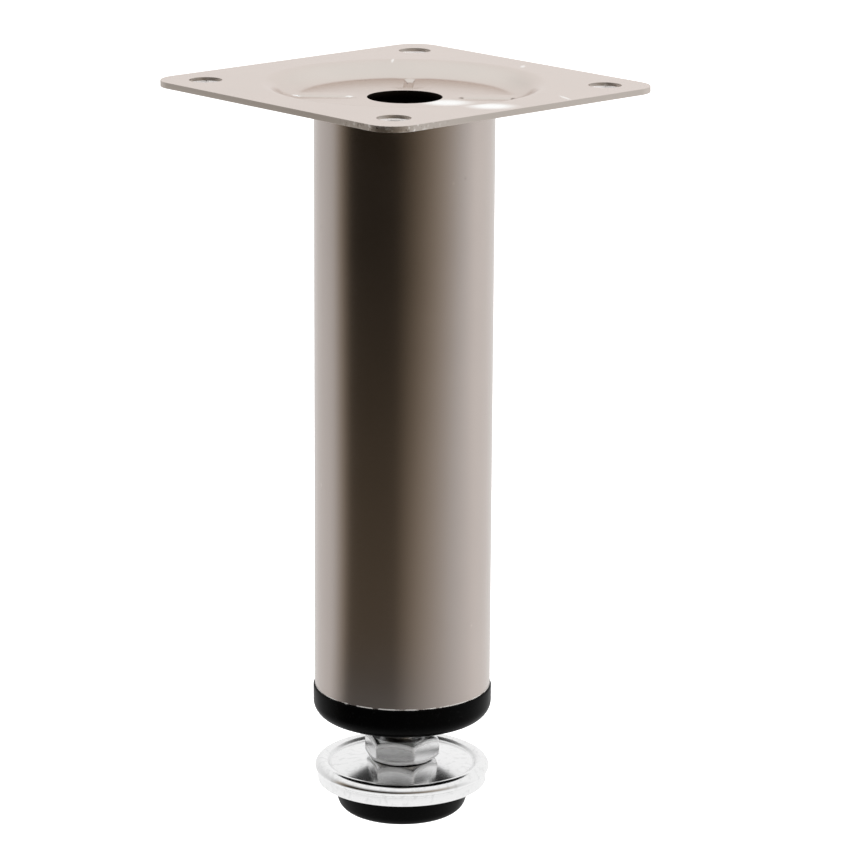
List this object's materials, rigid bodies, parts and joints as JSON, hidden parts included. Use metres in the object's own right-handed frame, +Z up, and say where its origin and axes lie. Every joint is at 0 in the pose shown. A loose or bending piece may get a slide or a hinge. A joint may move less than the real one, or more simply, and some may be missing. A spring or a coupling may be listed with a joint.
{
  "type": "adjustable furniture leg",
  "caption": "Round steel furniture leg with a square screw plate, a plastic end plug and a screw-adjusted pressed steel foot on a plastic pad.",
  "frame": {"origin": "centre of the mounting plate's top face, on the tube's axis", "axes": "+Z up along the tube's axis, from the foot to the plate; the plate's sides run along X and Y"},
  "size_m": [0.06, 0.06, 0.1265],
  "materials": {
    "plate_nickel": "satin nickel plated",
    "tube_nickel": "satin nickel plated",
    "plug_plastic": "smooth moulded",
    "nut_zinc": "zinc plated",
    "screw_plated": "bright plated",
    "cover_plated": "bright plated",
    "pad_plastic": "fine matte moulded"
  },
  "bodies": {
    "leg": {"mounting_plate": "plate_nickel", "leg_tube": "tube_nickel", "end_plug": "plug_plastic", "plug_nut": "nut_zinc"},
    "foot": {"foot_cover": "cover_plated", "foot_pad": "pad_plastic"},
    "screw": {"adjusting_screw": "screw_plated"}
  },
  "joints": [
    {"name": "height_adjustment", "type": "slide", "parent": "leg", "child": "foot", "axis": [0, 0, 1], "range_m": [-0.01376, 0.00338]},
    {"name": "screw_turn", "type": "hinge", "parent": "foot", "child": "screw", "pos_m": [0, 0, -0.1153], "axis": [0, 0, 1], "range_deg": [-3960, 972]}
  ],
  "couplings": [
    {"joint": "height_adjustment", "follows": "screw_turn", "m_per_rad": 0.00019894}
  ]
}
